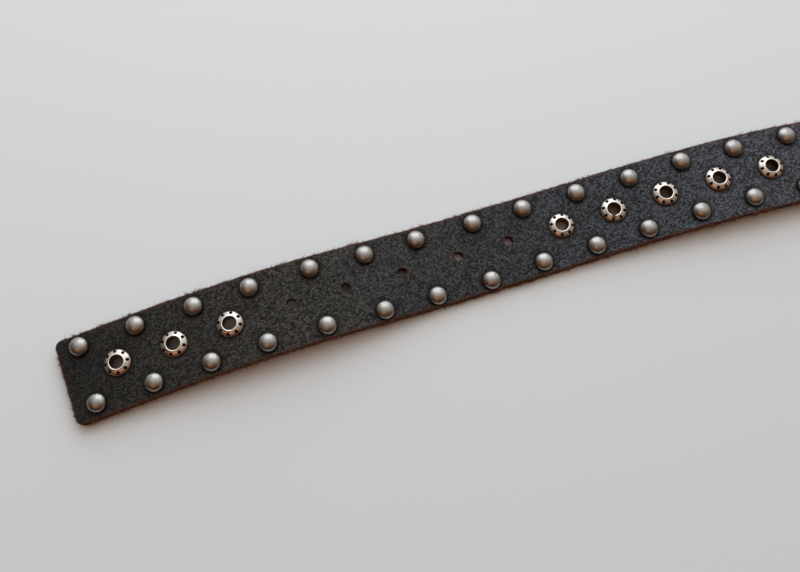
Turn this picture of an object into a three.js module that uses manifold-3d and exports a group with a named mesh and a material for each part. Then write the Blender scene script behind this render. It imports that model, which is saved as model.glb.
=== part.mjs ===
// Studded leather belt, lying face up: its square tip points to -X and its buckle to +X.
// The strap is one leather strip. Two rows of domed rivets run along its edges, and the middle
// row holds eyelets, apart from five plain punched holes for the buckle's prong.
import * as THREE from "three";
import { mergeVertices } from "three/addons/utils/BufferGeometryUtils.js";
import Module from "manifold-3d";

const wasm = await Module();
wasm.setup();

// Strap, in millimetres
const WAIST = 812.8; // from the buckle's bar to the middle one of the plain holes
const STRAP_WIDTH = 38.3;
const STRAP_THICKNESS = 3.5;
const PITCH = 25.4; // from one pair of studs to the next
const TIP_MARGIN = 10.2; // from the tip's edge to the first pair of studs
const TIP_RADIUS = 3;
const TIP_SKEW = 0.1; // how far the tip's lower corner stands out past its upper one
const EDGE_MARGIN = 6.05; // from each long edge to its row of studs
const MIDDLE_OFFSET = 0.4; // the middle row sits this much nearer the upper edge
const PRONG_HOLE = 4.2;

// How many there are along the strap
const TIP_EYELETS = 3;
const PLAIN_HOLES = 5;
const SHOWN_PAIRS = 14; // studs on the laid stretch are set by hand, each as its own piece
const SHOWN_EYELETS = 5; // eyelets of that stretch after the plain holes

// Studs
const STUD_DIAMETER = 8.6;
const STUD_RISE = 3.3;
const POST_DIAMETER = 3;
const PEEN_DIAMETER = 4.6; // the post's spread end in the strap's back
const PEEN_DEPTH = 0.9;

// Eyelets
const EYELET_DIAMETER = 12;
const EYELET_RISE = 1.7;
const EYELET_BORE = 6;
const EYELET_WALL = 0.4;
const CREST_WIDTH = 0.6; // flat top of the ring between the slope and the bore
const LIP_DROP = 0.4;
const ROLL_DIAMETER = 8.2; // the barrel's spread end in the strap's back
const ROLL_DEPTH = 1;
const DOT_COUNT = 8;
const DOT_DIAMETER = 1.2;
const DOT_FLOOR = 0.3; // metal left under each small hole
const SPLIT_WIDTH = 0.8;
const SPLIT_EYELET = 9; // this one has burst open at its rim
const SPLIT_DOT = 6; // its tear runs through this small hole

// Buckle
const BAR_DIAMETER = 4.5;
const RAIL_WIDTH = 5;
const FRAME_THICKNESS = 4;
const FRAME_OPENING = 27; // from the bar's centre to the front rail
const FRAME_CORNER = 6;
const WINDOW_CORNER = 3.5;
const FRAME_BEVEL = 0.9;
const RAIL_TAIL = 0.95; // how far the side rails reach past the bar
const PRONG_WIDTH = 4;
const PRONG_THICKNESS = 2.6;
const PRONG_OVERHANG = 1.5;
const PRONG_COLLAR = 1.8; // wall of the prong's eye round the bar

// Fold of the strap round the buckle's bar
const LAP_PITCHES = 2.8; // the folded-back layer's length, in stud pitches
const LAP_RAMP = 30; // length over which the strap climbs onto the folded-back layer
const NECK = 20; // length over which the two layers part to pass round the bar
const SLOT_REACH = 14; // how far the prong's slot runs each way from the bar

// Clearances
const SEAT_GAP = 0.3; // between a set piece and what it sits on or in
const BAR_GAP = 0.35;
const FRAME_GAP = 1.2; // beside the strap, each side
const SLOT_GAP = 1;
const BUCKLE_MARGIN = 22; // least distance from the last pair of studs to the bar
const SINK = 0.5; // how deep fused studs and eyelets go into the strap
const DRILL_PAST = 1; // how far a drill runs past the face where it comes out

// Roundness: sides of each kind of turned form, and rings of a dome
const STUD_SIDES = 8;
const EYELET_SIDES = 16;
const POST_HOLE_SIDES = 6;
const BARREL_HOLE_SIDES = 8;
const PRONG_HOLE_SIDES = 10;
const BAR_SIDES = 10;
const DOT_SIDES = 4;
const CORNER_STEPS = 3;
const FOLD_STEPS = 8;
const RAMP_STEPS = 4;
const TIP_STEPS = 3;
const LEAST_STEP = 0.01; // sections nearer than this are one

// The stretch nearest the tip doesn't lie flat: it stands up in two long low waves.
// crest, before and after are shares of the waved length, rise is a share of WAVE_RISE.
const WAVED = SHOWN_PAIRS * PITCH;
const WAVE_RISE = 5.8;
const WAVES = [
  { crest: 0.271, before: 0.368, after: 0.234, rise: 1 },
  { crest: 0.907, before: 0.328, after: 0.28, rise: 0.8 },
];

// It also bends sideways a little before it runs straight. at is a share of the bent length.
const BENT = 18 * PITCH;
const BENDS = [
  { at: 0, degrees: 7.3 },
  { at: 0.222, degrees: 4.3 },
  { at: 0.5, degrees: 3.7 },
  { at: 0.667, degrees: 1.2 },
  { at: 0.833, degrees: -4 },
  { at: 1, degrees: 0 },
];

// Hand-set pieces miss their marks a little. Along and across are shares of the pitch, one row
// for each pair of studs and the middle place after it, and turn is that eyelet's turn in degrees.
const SLIPS = [
  { upper: [-0.01, 0.015], lower: [0.01, 0.025], middle: [0.02, 0.02], turn: -52 },
  { upper: [-0.02, 0.015], lower: [0.01, 0.005], middle: [0, -0.02], turn: -28 },
  { upper: [-0.02, -0.01], lower: [0.01, 0], middle: [-0.025, -0.01], turn: -23 },
  { upper: [-0.05, 0], lower: [-0.01, 0.01], middle: [0.05, 0.01], turn: 0 },
  { upper: [0, 0.01], lower: [0, -0.01], middle: [0, 0.01], turn: 0 },
  { upper: [-0.03, -0.01], lower: [0.01, -0.03], middle: [0.03, 0.01], turn: 0 },
  { upper: [-0.06, 0.01], lower: [-0.02, -0.04], middle: [0.08, 0.01], turn: 0 },
  { upper: [0.02, 0.01], lower: [-0.01, -0.05], middle: [0.02, 0.02], turn: 0 },
  { upper: [-0.03, 0.01], lower: [-0.01, -0.01], middle: [0.03, 0], turn: -20 },
  { upper: [0, 0], lower: [0, -0.01], middle: [0.02, -0.01], turn: -24 },
  { upper: [0, -0.02], lower: [-0.01, 0], middle: [0.01, 0.01], turn: -33 },
  { upper: [-0.01, 0.01], lower: [0, 0.04], middle: [0.01, 0.01], turn: -26 },
  { upper: [-0.02, 0], lower: [0, 0.04], middle: [0, -0.01], turn: -43 },
  { upper: [-0.01, 0.01], lower: [0, 0.02], middle: [0, 0], turn: 0 },
];
const NO_SLIP = { upper: [0, 0], lower: [0, 0], middle: [0, 0], turn: 0 };

// Places that follow from the sizes
const ROW_OFFSET = STRAP_WIDTH / 2 - EDGE_MARGIN;
const MIDDLE_HOLE = TIP_EYELETS + (PLAIN_HOLES - 1) / 2;
const BAR_AT = TIP_MARGIN + (MIDDLE_HOLE + 0.5) * PITCH + WAIST;
const PAIRS = Math.floor((BAR_AT - TIP_MARGIN - BUCKLE_MARGIN) / PITCH) + 1;
const LOOP_RADIUS = BAR_DIAMETER / 2 + BAR_GAP;
const LAP = LAP_PITCHES * PITCH;
const LAP_STARTS = BAR_AT - LAP;
const LAP_RISE = STRAP_THICKNESS + SEAT_GAP;
const LOOP_RISE = STRAP_THICKNESS + 2 * LOOP_RADIUS;
const FOLD_LENGTH = Math.PI * LOOP_RADIUS;
const PATH_STEP = 1;

const leather = new THREE.MeshStandardMaterial({ color: 0x34342f, roughness: 0.62, metalness: 0 });
const nickel = new THREE.MeshStandardMaterial({ color: 0xa9a39a, roughness: 0.3, metalness: 1 });
const silver = new THREE.MeshStandardMaterial({ color: 0xc9c8c4, roughness: 0.22, metalness: 1 });
const steel = new THREE.MeshStandardMaterial({ color: 0xb0aca4, roughness: 0.35, metalness: 1 });

const ease = (share) => {
  const u = Math.min(Math.max(share, 0), 1);
  return u * u * (3 - 2 * u);
};

// Height of the strap's underside at a length s from the tip
function lift(s) {
  let height = 0;
  for (const wave of WAVES) {
    const away = s / WAVED - wave.crest;
    const u = away < 0 ? away / wave.before : away / wave.after;
    if (Math.abs(u) < 1) height += (wave.rise * WAVE_RISE * (1 + Math.cos(Math.PI * u))) / 2;
  }
  height += LAP_RISE * ease((s - LAP_STARTS + LAP_RAMP + SEAT_GAP) / LAP_RAMP);
  height += (LOOP_RISE - LAP_RISE) * ease((s - BAR_AT + NECK) / NECK);
  return height;
}

// Direction of the strap in plan, in radians, at a length s from the tip
function heading(s) {
  const share = s / BENT;
  if (share <= 0) return THREE.MathUtils.degToRad(BENDS[0].degrees);
  for (let i = 1; i < BENDS.length; i++) {
    const [from, to] = [BENDS[i - 1], BENDS[i]];
    if (share < to.at) {
      const turned = ease((share - from.at) / (to.at - from.at));
      return THREE.MathUtils.degToRad(from.degrees + turned * (to.degrees - from.degrees));
    }
  }
  return THREE.MathUtils.degToRad(BENDS[BENDS.length - 1].degrees);
}

// The way from the tip to the bar, as points a millimetre of strap apart
const path = [new THREE.Vector3(0, 0, lift(0))];
for (let s = 0; s < BAR_AT; s += PATH_STEP) {
  const last = path[path.length - 1];
  const climb = lift(s + PATH_STEP) - lift(s);
  const run = Math.sqrt(PATH_STEP ** 2 - climb ** 2);
  const turn = heading(s + PATH_STEP / 2);
  path.push(last.clone().add(new THREE.Vector3(run * Math.cos(turn), run * Math.sin(turn), climb)));
}

function pointAt(s) {
  const place = Math.min(Math.max(s / PATH_STEP, 0), path.length - 2);
  const i = Math.floor(place);
  return path[i].clone().lerp(path[i + 1], s / PATH_STEP - i);
}
const bar = pointAt(BAR_AT).setZ(STRAP_THICKNESS + LOOP_RADIUS);

// Where the strap is at a length s: a point of its inner face, the direction along it, the
// direction across it and the way its outer face looks. Past the bar it goes round and back.
function strapAt(s) {
  const past = s - BAR_AT;
  if (past > 0) {
    const angle = Math.min(past / LOOP_RADIUS, Math.PI);
    const normal = new THREE.Vector3(Math.sin(angle), 0, Math.cos(angle));
    const along = new THREE.Vector3(Math.cos(angle), 0, -Math.sin(angle));
    const point = bar.clone().addScaledVector(normal, LOOP_RADIUS);
    point.addScaledVector(along, Math.max(past - FOLD_LENGTH, 0));
    return { point, along, across: new THREE.Vector3(0, 1, 0), normal };
  }
  const along = pointAt(s + PATH_STEP).sub(pointAt(s - PATH_STEP)).normalize();
  const across = new THREE.Vector3(-along.y, along.x, 0).normalize();
  return { point: pointAt(s), along, across, normal: along.clone().cross(across) };
}

// A matrix whose X is along the strap, Y across it and Z out of its face, at its outer face
function seat(s, offset) {
  const { point, along, across, normal } = strapAt(s);
  const matrix = new THREE.Matrix4().makeBasis(along, across, normal);
  const place = point.addScaledVector(across, offset).addScaledVector(normal, STRAP_THICKNESS);
  return matrix.setPosition(place);
}

// Solids to join and cut, and the way back to a geometry
function toSolid(geometry) {
  const plain = geometry.clone();
  plain.deleteAttribute("normal");
  plain.deleteAttribute("uv");
  const merged = mergeVertices(plain, 1e-4);
  const mesh = new wasm.Mesh({
    numProp: 3,
    vertProperties: new Float32Array(merged.attributes.position.array),
    triVerts: new Uint32Array(merged.index.array),
  });
  return new wasm.Manifold(mesh);
}

function toGeometry(solid) {
  const { vertProperties, triVerts } = solid.getMesh();
  const geometry = new THREE.BufferGeometry();
  geometry.setAttribute("position", new THREE.Float32BufferAttribute(vertProperties, 3));
  geometry.setIndex(new THREE.Uint32BufferAttribute(triVerts, 1));
  geometry.computeVertexNormals();
  return geometry;
}

// A turned form round +Z from [radius, height] points
function turned(profile, sides) {
  const points = profile.map(([radius, height]) => new THREE.Vector2(radius, height));
  return new THREE.LatheGeometry(points, sides).rotateX(Math.PI / 2);
}

// A polygon of this many sides stands clear of a circle of this radius
const clearOf = (radius, sides) => radius / Math.cos(Math.PI / sides);

// A drill along Z that clears a round post, and the post's spread end below it where it has one
function drill(sides, radius, from, to, spread = 0, depth = 0) {
  const hole = clearOf(radius, sides);
  const profile = [[hole, to], [0, to]];
  if (spread) profile.unshift([clearOf(spread, sides), from], [hole, from + depth]);
  else profile.unshift([hole, from]);
  return turned([[0, from], ...profile], sides);
}

// Points of a dome from its top down to its edge, which ends at the given height
function dome(rings, edge) {
  const half = STUD_DIAMETER / 2;
  const ball = (half ** 2 + STUD_RISE ** 2) / (2 * STUD_RISE);
  const spread = Math.atan2(half, ball - STUD_RISE);
  const points = [];
  for (let i = rings; i > 0; i--) {
    const angle = (spread * i) / rings;
    points.push([ball * Math.sin(angle), Math.max(STUD_RISE - ball * (1 - Math.cos(angle)), edge)]);
  }
  points.push([0, STUD_RISE]);
  return points;
}

function studGeometry() {
  const post = POST_DIAMETER / 2;
  const back = SEAT_GAP / 3 - STRAP_THICKNESS;
  const profile = [
    [0, back],
    [PEEN_DIAMETER / 2, back],
    [post, back + PEEN_DEPTH],
    [post, SEAT_GAP],
    ...dome(2, SEAT_GAP),
  ];
  return turned(profile, STUD_SIDES);
}

// The eyelet: a sloping ring pierced with small holes, and a barrel spread open at the back
function eyeletGeometry(split) {
  const bore = EYELET_BORE / 2;
  const barrel = bore + EYELET_WALL;
  const back = SEAT_GAP / 3 - STRAP_THICKNESS;
  const edge = EYELET_DIAMETER / 2;
  const profile = [
    [bore, back],
    [ROLL_DIAMETER / 2, back],
    [barrel, back + ROLL_DEPTH],
    [barrel, SEAT_GAP],
    [edge, SEAT_GAP],
    [bore + CREST_WIDTH, EYELET_RISE],
    [bore, EYELET_RISE - LIP_DROP],
    [bore, back],
  ];
  let solid = toSolid(turned(profile, EYELET_SIDES));
  const first = Math.PI / EYELET_SIDES;
  const slopeMiddle = (edge + bore + CREST_WIDTH) / 2;
  const floor = SEAT_GAP + DOT_FLOOR;
  const dot = DOT_DIAMETER / 2;
  for (let i = 0; i < DOT_COUNT; i++) {
    const angle = first + (2 * Math.PI * i) / DOT_COUNT;
    const pit = turned([[0, floor], [dot, floor], [dot, EYELET_RISE], [0, EYELET_RISE]], DOT_SIDES);
    pit.translate(slopeMiddle, 0, 0).rotateZ(angle);
    solid = solid.subtract(toSolid(pit));
  }
  if (split) {
    const tear = new THREE.BoxGeometry(edge, SPLIT_WIDTH, EYELET_RISE + SEAT_GAP);
    tear.translate(bore - EYELET_WALL + edge / 2, 0, EYELET_RISE / 2 + SEAT_GAP);
    tear.rotateZ(first + (2 * Math.PI * SPLIT_DOT) / DOT_COUNT);
    solid = solid.subtract(toSolid(tear));
  }
  return toGeometry(solid);
}

// Lengths along the strap at which it has a section
function sections() {
  const list = [];
  for (let i = 0; i <= TIP_STEPS; i++) {
    list.push(TIP_RADIUS * (1 - Math.cos((Math.PI / 2) * (i / TIP_STEPS))));
  }
  for (let s = TIP_MARGIN + PITCH / 4; s < BENT; s += PITCH / 2) list.push(s);
  const steps = [
    [LAP_STARTS - LAP_RAMP, LAP_STARTS - SEAT_GAP, RAMP_STEPS],
    [BAR_AT - NECK, BAR_AT, RAMP_STEPS],
    [BAR_AT, BAR_AT + FOLD_LENGTH, FOLD_STEPS],
    [BAR_AT + FOLD_LENGTH, BAR_AT + FOLD_LENGTH + LAP, 1],
  ];
  for (const [from, to, count] of steps) {
    for (let i = 0; i <= count; i++) {
      const s = from + ((to - from) * i) / count;
      if (s > list[list.length - 1] + LEAST_STEP) list.push(s);
    }
  }
  return list;
}

// Half the strap's width at one of the first sections, which round off the tip's corners
function halfWidth(index) {
  if (index >= TIP_STEPS) return STRAP_WIDTH / 2;
  const rounded = TIP_RADIUS * (1 - Math.sin((Math.PI / 2) * (index / TIP_STEPS)));
  return STRAP_WIDTH / 2 - rounded;
}

function bareStrap() {
  const list = sections();
  const geometry = new THREE.BoxGeometry(list.length - 1, 1, 1, list.length - 1, 1, 1);
  const position = geometry.attributes.position;
  for (let i = 0; i < position.count; i++) {
    const index = Math.round(position.getX(i) + (list.length - 1) / 2);
    const offset = 2 * position.getY(i) * halfWidth(index);
    const skew = (TIP_SKEW * offset) / STRAP_WIDTH;
    const s = index <= TIP_STEPS ? list[index] + skew : list[index];
    const { point, across, normal } = strapAt(s);
    const height = (position.getZ(i) + 0.5) * STRAP_THICKNESS;
    point.addScaledVector(across, offset).addScaledVector(normal, height);
    position.setXYZ(i, point.x, point.y, point.z);
  }
  return toSolid(geometry);
}

// Every place on the strap, with the kind of piece that it takes
function places() {
  const list = [];
  for (let i = 0; i < PAIRS; i++) {
    const slip = i < SHOWN_PAIRS ? SLIPS[i] ?? NO_SLIP : NO_SLIP;
    for (const [row, sign] of [["upper", 1], ["lower", -1]]) {
      const s = TIP_MARGIN + (i + slip[row][0]) * PITCH;
      const offset = sign * ROW_OFFSET + slip[row][1] * PITCH;
      list.push({ kind: "stud", row, index: i, s, offset, turn: 0, own: i < SHOWN_PAIRS });
    }
    if (i === PAIRS - 1) continue;
    const s = TIP_MARGIN + (i + 0.5 + slip.middle[0]) * PITCH;
    const offset = MIDDLE_OFFSET + slip.middle[1] * PITCH;
    const plain = i >= TIP_EYELETS && i < TIP_EYELETS + PLAIN_HOLES;
    const own = i < TIP_EYELETS + PLAIN_HOLES + SHOWN_EYELETS;
    const kind = plain ? "hole" : "eyelet";
    list.push({ kind, row: "middle", index: i, s, offset, turn: slip.turn, own });
  }
  return list;
}

// How far below the outer face a piece at s has to reach: through one layer, or through two
const depthAt = (s) => (s > LAP_STARTS ? 2 * STRAP_THICKNESS + SEAT_GAP : STRAP_THICKNESS);

// Past the laid stretch the pieces are one with the strap: a dome, and in the lap its post too
function fusedStud(s) {
  const solid = toSolid(turned([[0, -SINK], [STUD_DIAMETER / 2, -SINK], ...dome(2, 0)], STUD_SIDES));
  if (s < LAP_STARTS) return solid;
  const post = POST_DIAMETER / 2;
  const end = -depthAt(s);
  return solid.add(toSolid(turned([[0, end], [post, end], [post, 0], [0, 0]], STUD_SIDES)));
}

function fusedEyelet() {
  const edge = EYELET_DIAMETER / 2;
  const crest = EYELET_BORE / 2 + CREST_WIDTH;
  const slope = [[edge, -SINK], [edge, 0], [crest, EYELET_RISE]];
  return toSolid(turned([[0, -SINK], ...slope, [0, EYELET_RISE]], STUD_SIDES));
}

function strapGeometry(list) {
  const under = -STRAP_THICKNESS;
  const back = under - SEAT_GAP / 3;
  let strap = bareStrap();
  const cut = (geometry, matrix) => {
    strap = strap.subtract(toSolid(geometry.applyMatrix4(matrix)));
  };
  for (const { kind, s, offset, own } of list) {
    const matrix = seat(s, offset);
    if (kind === "hole") {
      cut(drill(PRONG_HOLE_SIDES, PRONG_HOLE / 2, under - DRILL_PAST, DRILL_PAST), matrix);
    } else if (kind === "stud" && own) {
      const post = POST_DIAMETER / 2 + SEAT_GAP;
      const peen = PEEN_DIAMETER / 2 + SEAT_GAP;
      cut(drill(POST_HOLE_SIDES, post, back, DRILL_PAST, peen, PEEN_DEPTH + SEAT_GAP), matrix);
    } else if (kind === "eyelet" && own) {
      const barrel = EYELET_BORE / 2 + EYELET_WALL + SEAT_GAP;
      const roll = ROLL_DIAMETER / 2 + SEAT_GAP;
      cut(drill(BARREL_HOLE_SIDES, barrel, back, DRILL_PAST, roll, ROLL_DEPTH + SEAT_GAP), matrix);
    } else if (kind === "stud") {
      strap = strap.add(fusedStud(s).transform(matrix.elements));
    } else {
      strap = strap.add(fusedEyelet().transform(matrix.elements));
      const [from, to] = [-depthAt(s) - DRILL_PAST, EYELET_RISE + DRILL_PAST];
      cut(drill(STUD_SIDES, EYELET_BORE / 2, from, to), matrix);
    }
  }
  const slotHeight = LOOP_RISE + STRAP_THICKNESS + 2 * DRILL_PAST;
  const slot = new THREE.BoxGeometry(2 * SLOT_REACH, PRONG_WIDTH + 2 * SLOT_GAP, slotHeight);
  cut(slot.translate(bar.x, bar.y, slotHeight / 2 - DRILL_PAST), new THREE.Matrix4());
  return toGeometry(strap);
}

// The buckle in its own frame: the bar's centre is the origin, the front rail lies along +X
function buckleGeometry() {
  const inner = STRAP_WIDTH / 2 + FRAME_GAP;
  const outer = inner + RAIL_WIDTH;
  const front = FRAME_OPENING + RAIL_WIDTH;
  const bevel = FRAME_BEVEL;
  const tail = bevel - BAR_DIAMETER / 2 - RAIL_TAIL;
  const quarter = Math.PI / 2;
  const round = FRAME_CORNER - bevel;
  const hollow = WINDOW_CORNER + bevel;
  const shape = new THREE.Shape();
  shape.moveTo(tail, -outer + bevel);
  shape.absarc(front - FRAME_CORNER, -outer + FRAME_CORNER, round, -quarter, 0);
  shape.absarc(front - FRAME_CORNER, outer - FRAME_CORNER, round, 0, quarter);
  shape.lineTo(tail, outer - bevel);
  shape.lineTo(tail, inner + bevel);
  shape.absarc(FRAME_OPENING - WINDOW_CORNER, inner - WINDOW_CORNER, hollow, quarter, 0, true);
  shape.absarc(FRAME_OPENING - WINDOW_CORNER, -inner + WINDOW_CORNER, hollow, 0, -quarter, true);
  shape.lineTo(tail, -inner - bevel);
  const frame = new THREE.ExtrudeGeometry(shape, {
    depth: FRAME_THICKNESS - 2 * bevel,
    bevelThickness: bevel,
    bevelSize: bevel,
    bevelSegments: 1,
    curveSegments: CORNER_STEPS,
  });
  frame.translate(0, 0, bevel - FRAME_THICKNESS / 2);
  const thick = BAR_DIAMETER / 2;
  const rod = new THREE.CylinderGeometry(thick, thick, inner + outer, BAR_SIDES);
  const eye = thick + PRONG_COLLAR;
  const collar = new THREE.CylinderGeometry(eye, eye, PRONG_WIDTH, BAR_SIDES);
  const low = FRAME_THICKNESS / 2 - SEAT_GAP / 3;
  const high = low + PRONG_THICKNESS;
  const end = front + PRONG_OVERHANG;
  const side = new THREE.Shape([
    new THREE.Vector2(0, low),
    new THREE.Vector2(end - PRONG_THICKNESS / 2, low),
    new THREE.Vector2(end, low + PRONG_THICKNESS / 3),
    new THREE.Vector2(end - PRONG_THICKNESS / 2, high),
    new THREE.Vector2(BAR_DIAMETER, high),
    new THREE.Vector2(0, Math.min(high, eye - SEAT_GAP)),
  ]);
  const shank = new THREE.ExtrudeGeometry(side, { depth: PRONG_WIDTH, bevelEnabled: false });
  shank.rotateX(Math.PI / 2).translate(0, PRONG_WIDTH / 2, 0);
  return toGeometry(toSolid(frame).add(toSolid(rod)).add(toSolid(collar)).add(toSolid(shank)));
}

function mesh(name, geometry, material, matrix) {
  const piece = new THREE.Mesh(geometry, material);
  piece.name = name;
  matrix.decompose(piece.position, piece.quaternion, piece.scale);
  return piece;
}

const belt = new THREE.Group();
const all = places();
belt.add(mesh("strap", strapGeometry(all), leather, new THREE.Matrix4()));

const stud = studGeometry();
const eyelet = eyeletGeometry(false);
const splitEyelet = eyeletGeometry(true);
for (const { kind, row, index, s, offset, turn, own } of all) {
  if (!own || kind === "hole") continue;
  const number = String(index + 1).padStart(2, "0");
  const matrix = seat(s, offset);
  if (kind === "stud") {
    belt.add(mesh(`stud_${row}_${number}`, stud, nickel, matrix));
  } else {
    const angle = THREE.MathUtils.degToRad(turn) - Math.PI / EYELET_SIDES;
    matrix.multiply(new THREE.Matrix4().makeRotationZ(angle));
    const form = index === SPLIT_EYELET ? splitEyelet : eyelet;
    belt.add(mesh(`eyelet_${number}`, form, silver, matrix));
  }
}

// The buckle leans down from the bar until its front rail rests on the surface
const reach = Math.hypot(FRAME_OPENING + RAIL_WIDTH, FRAME_THICKNESS / 2);
const lean = Math.asin(bar.z / reach) - Math.atan2(FRAME_THICKNESS / 2, FRAME_OPENING + RAIL_WIDTH);
const buckle = mesh("buckle", buckleGeometry(), steel, new THREE.Matrix4());
buckle.position.copy(bar);
buckle.rotation.y = lean;
belt.add(buckle);

// The origin is the middle of the belt's box, on the surface that it lies on
belt.updateMatrixWorld(true);
const box = new THREE.Box3().setFromObject(belt, true);
const centre = box.getCenter(new THREE.Vector3());
belt.position.set(-centre.x, -centre.y, -box.min.z);

export default belt;
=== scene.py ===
# %% [markdown]
# This lesson dresses a studded leather belt. The belt lies face up on a pale table: a square tip
# at one end, a plain buckle at the other, two rows of domed rivets and a row of eyelets between
# them. The construction model already holds every piece at its real place and size, so the
# lesson starts from it and gives each piece its surface.

# %% Load the construction model
import math
import random

import bpy
import numpy as np
from mathutils import Matrix, Vector


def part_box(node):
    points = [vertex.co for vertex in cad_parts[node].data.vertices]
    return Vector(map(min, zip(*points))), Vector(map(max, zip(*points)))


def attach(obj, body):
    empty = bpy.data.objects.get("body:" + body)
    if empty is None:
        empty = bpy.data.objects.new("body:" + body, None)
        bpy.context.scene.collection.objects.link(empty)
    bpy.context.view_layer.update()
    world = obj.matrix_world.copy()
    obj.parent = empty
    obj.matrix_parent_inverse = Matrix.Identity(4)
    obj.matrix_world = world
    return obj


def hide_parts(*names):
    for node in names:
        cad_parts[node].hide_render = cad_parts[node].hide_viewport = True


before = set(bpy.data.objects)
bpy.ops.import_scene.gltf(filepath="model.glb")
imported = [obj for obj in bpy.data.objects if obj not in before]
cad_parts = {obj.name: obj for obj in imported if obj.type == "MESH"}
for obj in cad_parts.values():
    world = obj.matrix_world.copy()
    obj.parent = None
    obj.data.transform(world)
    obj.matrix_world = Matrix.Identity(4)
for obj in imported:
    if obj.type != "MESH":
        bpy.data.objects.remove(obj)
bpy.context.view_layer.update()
bpy.ops.object.select_all(action="DESELECT")
MM = 0.001

# %% [markdown]
# First come the sizes. They are the belt's own: an inch and a half of strap, studs an inch
# apart, and domes just under nine millimetres across. Everything that follows is worked out from
# them and from the boxes of the construction model's pieces.

# %% Sizes of the belt
PITCH = 25.4 * MM
STRAP_WIDTH = 38.3 * MM
THICKNESS = 3.5 * MM
TIP_MARGIN = 10.2 * MM
TIP_RADIUS = 3 * MM
TIP_SKEW = 0.1 * MM
ROW_OFFSET = 13.1 * MM
MIDDLE_OFFSET = 0.4 * MM
WAIST = 812.8 * MM
BAR_RADIUS = 2.25 * MM
LOOP_RADIUS = 2.6 * MM
SEAT_GAP = 0.3 * MM
NECK = 20 * MM
LAP = 2.8 * PITCH
LAP_RAMP = 30 * MM
SHOWN_PAIRS = 14
TIP_EYELETS = 3
PLAIN_HOLES = 5
MIDDLE_HOLE = TIP_EYELETS + PLAIN_HOLES // 2
BAR_AT = TIP_MARGIN + (MIDDLE_HOLE + 0.5) * PITCH + WAIST
PAIRS = 37
FOLD_LENGTH = math.pi * LOOP_RADIUS
FLAT_LENGTH = BAR_AT + FOLD_LENGTH + LAP
print("strap cut to", round(FLAT_LENGTH / MM), "mm")

# %% [markdown]
# A belt that has been worn doesn't lie flat. This one stands up in two long low waves and bends
# sideways a little before it runs straight. Two short tables say so, as in the construction
# model: lengths are shares of the waved and of the bent stretch.

# %% How the strap lies
WAVED = SHOWN_PAIRS * PITCH
WAVE_RISE = 5.8 * MM
WAVES = [
    {"crest": 0.271, "before": 0.368, "after": 0.234, "rise": 1},
    {"crest": 0.907, "before": 0.328, "after": 0.28, "rise": 0.8},
]
BENT = 18 * PITCH
BENDS = [(0, 7.3), (0.222, 4.3), (0.5, 3.7), (0.667, 1.2), (0.833, -4), (1, 0)]
PATH_STEP = 1 * MM


def ease(share):
    u = min(max(share, 0), 1)
    return u * u * (3 - 2 * u)


def lift(s):
    """Height of the strap's underside at a length s from the tip."""
    height = 0
    for wave in WAVES:
        away = s / WAVED - wave["crest"]
        u = away / wave["before"] if away < 0 else away / wave["after"]
        if abs(u) < 1:
            height += wave["rise"] * WAVE_RISE * (1 + math.cos(math.pi * u)) / 2
    lap_rise = THICKNESS + SEAT_GAP
    loop_rise = THICKNESS + 2 * LOOP_RADIUS
    height += lap_rise * ease((s - BAR_AT + LAP + LAP_RAMP + SEAT_GAP) / LAP_RAMP)
    height += (loop_rise - lap_rise) * ease((s - BAR_AT + NECK) / NECK)
    return height


def heading(s):
    """Direction of the strap in plan, in radians, at a length s from the tip."""
    share = s / BENT
    if share <= 0:
        return math.radians(BENDS[0][1])
    for (start, first), (end, last) in zip(BENDS, BENDS[1:]):
        if share < end:
            return math.radians(first + ease((share - start) / (end - start)) * (last - first))
    return math.radians(BENDS[-1][1])


print("first wave stands", round(lift(WAVES[0]["crest"] * WAVED) / MM, 1), "mm high")


# %% The way from the tip to the bar
def strap_path():
    points = [Vector((0, 0, lift(0)))]
    for i in range(math.ceil(BAR_AT / PATH_STEP)):
        s = i * PATH_STEP
        climb = lift(s + PATH_STEP) - lift(s)
        run = math.sqrt(PATH_STEP**2 - climb**2)
        turn = heading(s + PATH_STEP / 2)
        points.append(points[-1] + Vector((run * math.cos(turn), run * math.sin(turn), climb)))
    return points


path = strap_path()
strap_low, strap_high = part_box("strap")
buckle_low, buckle_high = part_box("buckle")
bar = Vector((strap_high.x - LOOP_RADIUS - THICKNESS, (buckle_low.y + buckle_high.y) / 2, 0))
bar.z = THICKNESS + LOOP_RADIUS
last_step = int(BAR_AT / PATH_STEP)
path_end = path[last_step].lerp(path[last_step + 1], BAR_AT / PATH_STEP - last_step)
shift = Vector((bar.x - path_end.x, bar.y - path_end.y, 0))
path = [point + shift for point in path]
print("tip at", [round(c / MM, 2) for c in path[0]], "bar at", [round(c / MM, 2) for c in bar])


# %% Places on the strap
def point_at(s):
    i = min(max(int(s / PATH_STEP), 0), len(path) - 2)
    return path[i].lerp(path[i + 1], s / PATH_STEP - i)


def strap_at(s):
    """A point of the inner face, the direction along, the one across and the one outwards."""
    past = s - BAR_AT
    if past > 0:
        angle = min(past / LOOP_RADIUS, math.pi)
        normal = Vector((math.sin(angle), 0, math.cos(angle)))
        along = Vector((math.cos(angle), 0, -math.sin(angle)))
        point = bar + normal * LOOP_RADIUS + along * max(past - FOLD_LENGTH, 0)
        return point, along, Vector((0, 1, 0)), normal
    along = (point_at(s + PATH_STEP) - point_at(s - PATH_STEP)).normalized()
    across = Vector((-along.y, along.x, 0)).normalized()
    return point_at(s), along, across, along.cross(across)


def seat(s, offset, turn=0):
    """The matrix that puts a piece made at the origin onto the strap's outer face."""
    point, along, across, normal = strap_at(s)
    axes = Matrix((along, across, normal)).transposed().to_4x4()
    axes.translation = point + across * offset + normal * THICKNESS
    return axes @ Matrix.Rotation(turn, 4, "Z")


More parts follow.
